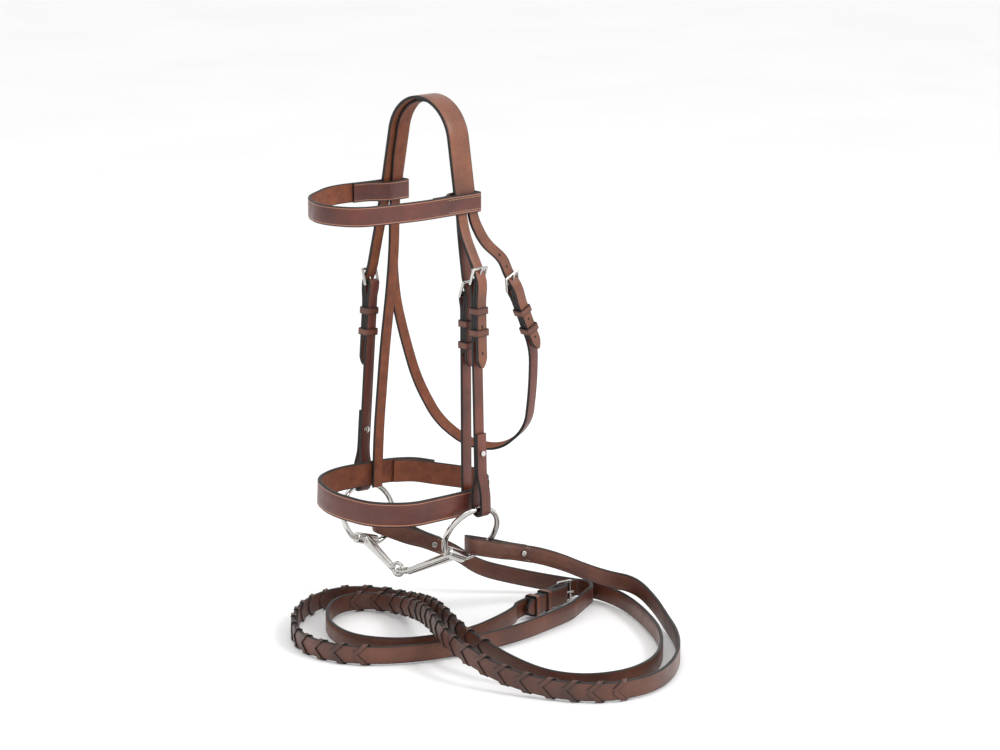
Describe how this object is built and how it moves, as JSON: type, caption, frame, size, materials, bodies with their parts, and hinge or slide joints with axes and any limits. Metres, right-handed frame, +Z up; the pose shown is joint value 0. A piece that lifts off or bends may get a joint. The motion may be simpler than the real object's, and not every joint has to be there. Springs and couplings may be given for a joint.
{
  "type": "snaffle bridle",
  "caption": "Leather headstall with headpiece, browband, buckled cheekpieces, cavesson noseband and throatlash, holding a single-jointed eggbutt ring bit with laced reins.",
  "frame": {"origin": "centre of the arc that rests over the poll", "axes": "+X is the horse's near (left) side, -Y its front, +Z up"},
  "size_m": [0.4421, 0.3485, 0.5367],
  "materials": {
    "headstall_leather": "satin",
    "rein_leather": "satin",
    "lacing": "matt",
    "buckle_steel": "polished",
    "bit_steel": "polished"
  },
  "bodies": {
    "near_ring": {"bit_ring_near": "bit_steel"},
    "far_ring": {"bit_ring_far": "bit_steel"},
    "near_mouthpiece": {"mouthpiece_near": "bit_steel"},
    "far_mouthpiece": {"mouthpiece_far": "bit_steel"},
    "cheek_buckle_near_tongue_body": {"cheek_buckle_near_tongue": "buckle_steel"},
    "cheek_buckle_far_tongue_body": {"cheek_buckle_far_tongue": "buckle_steel"},
    "noseband_cheek_buckle_tongue_body": {"noseband_cheek_buckle_tongue": "buckle_steel"},
    "noseband_jaw_buckle_tongue_body": {"noseband_jaw_buckle_tongue": "buckle_steel"},
    "throatlash_buckle_tongue_body": {"throatlash_buckle_tongue": "buckle_steel"},
    "rein_buckle_tongue_body": {"rein_buckle_tongue": "buckle_steel"},
    "cheek_near_runner_body": {"cheek_near_runner": "headstall_leather"},
    "cheek_far_runner_body": {"cheek_far_runner": "headstall_leather"},
    "noseband_cheek_runner_body": {"noseband_cheek_runner": "headstall_leather"},
    "throatlash_runner_body": {"throatlash_runner": "headstall_leather"},
    "rein_runner_body": {"rein_runner": "rein_leather"},
    "headstall": {"browband": "headstall_leather", "cheek_buckle_far": "buckle_steel", "cheek_buckle_near": "buckle_steel", "cheek_far_keeper": "headstall_leather", "cheek_hook_stud_far": "buckle_steel", "cheek_hook_stud_near": "buckle_steel", "cheek_near_keeper": "headstall_leather", "cheekpiece_far": "headstall_leather", "cheekpiece_near": "headstall_leather", "crownpiece": "headstall_leather", "noseband_cheek_buckle": "buckle_steel", "noseband_cheek_keeper": "headstall_leather", "noseband_cheek_near": "headstall_leather", "noseband_headstrap": "headstall_leather", "noseband_jaw_buckle": "buckle_steel", "noseband_jaw_keeper": "headstall_leather", "noseband_jaw_strap": "headstall_leather", "noseband_nosepiece": "headstall_leather", "rein_billet_far": "rein_leather", "rein_buckle": "buckle_steel", "rein_chape_near": "rein_leather", "rein_far": "rein_leather", "rein_hook_stud_far": "buckle_steel", "rein_hook_stud_near": "buckle_steel", "rein_keeper": "rein_leather", "rein_lacing_far": "lacing", "rein_lacing_near": "lacing", "rein_loop_far": "rein_leather", "rein_loop_near": "rein_leather", "rein_near": "rein_leather", "throatlash": "headstall_leather", "throatlash_buckle": "buckle_steel", "throatlash_keeper": "headstall_leather"}
  },
  "joints": [
    {"name": "bit_swing_near", "type": "hinge", "parent": "headstall", "child": "near_ring", "pos_m": [0.08186, -0.00385, -0.365], "axis": [0.9921, 0.1253, 0], "range_deg": [-1, 1]},
    {"name": "bit_swing_far", "type": "hinge", "parent": "headstall", "child": "far_ring", "pos_m": [-0.07886, -0.02415, -0.365], "axis": [0.9921, 0.1253, 0], "range_deg": [-1, 1]},
    {"name": "mouthpiece_fold_near", "type": "hinge", "parent": "near_ring", "child": "near_mouthpiece", "pos_m": [0.05651, -0.01666, -0.41524], "axis": [-0.0972, 0.9082, -0.4072], "range_deg": [0, 3]},
    {"name": "mouthpiece_fold_far", "type": "hinge", "parent": "far_ring", "child": "far_mouthpiece", "pos_m": [-0.06404, -0.03189, -0.42024], "axis": [-0.1687, -0.9417, 0.291], "range_deg": [0, 3]},
    {"name": "cheek_buckle_near_tongue_lift", "type": "hinge", "parent": "headstall", "child": "cheek_buckle_near_tongue_body", "pos_m": [0.0785, -0.00632, -0.133], "axis": [0, 0.9999, 0.0107], "range_deg": [0, 8]},
    {"name": "cheek_buckle_far_tongue_lift", "type": "hinge", "parent": "headstall", "child": "cheek_buckle_far_tongue_body", "pos_m": [-0.074, -0.0124, -0.15485], "axis": [0, -0.9984, 0.0558], "range_deg": [0, 8]},
    {"name": "noseband_cheek_buckle_tongue_lift", "type": "hinge", "parent": "headstall", "child": "noseband_cheek_buckle_tongue_body", "pos_m": [0.059, -0.0025, -0.149], "axis": [0, 1, 0.0044], "range_deg": [0, 8]},
    {"name": "noseband_jaw_buckle_tongue_lift", "type": "hinge", "parent": "headstall", "child": "noseband_jaw_buckle_tongue_body", "pos_m": [0.03294, 0.039, -0.35796], "axis": [-0.0593, 0, -0.9982], "range_deg": [0, 8]},
    {"name": "throatlash_buckle_tongue_lift", "type": "hinge", "parent": "headstall", "child": "throatlash_buckle_tongue_body", "pos_m": [0.062, 0.058, -0.148], "axis": [0, 0.9074, 0.4202], "range_deg": [0, 8]},
    {"name": "rein_buckle_tongue_lift", "type": "hinge", "parent": "headstall", "child": "rein_buckle_tongue_body", "pos_m": [0.078, 0.108, -0.4769], "axis": [0, 0, -1], "range_deg": [0, 8]},
    {"name": "cheek_near_runner_slide", "type": "slide", "parent": "headstall", "child": "cheek_near_runner_body", "axis": [-0.0145, -0.0107, 0.9998], "range_m": [-0.005, 0.005]},
    {"name": "cheek_far_runner_slide", "type": "slide", "parent": "headstall", "child": "cheek_far_runner_body", "axis": [0.0231, 0.0558, 0.9982], "range_m": [-0.005, 0.005]},
    {"name": "noseband_cheek_runner_slide", "type": "slide", "parent": "headstall", "child": "noseband_cheek_runner_body", "axis": [0, -0.0044, 1], "range_m": [-0.005, 0.005]},
    {"name": "throatlash_runner_slide", "type": "slide", "parent": "headstall", "child": "throatlash_runner_body", "axis": [0, -0.4202, 0.9074], "range_m": [-0.005, 0.005]},
    {"name": "rein_runner_slide", "type": "slide", "parent": "headstall", "child": "rein_runner_body", "axis": [-0.2201, 0.9755, 0], "range_m": [-0.005, 0.005]}
  ],
  "couplings": [
    {"joint": "bit_swing_far", "follows": "bit_swing_near", "ratio": 1},
    {"joint": "mouthpiece_fold_far", "follows": "mouthpiece_fold_near", "ratio": 1}
  ]
}
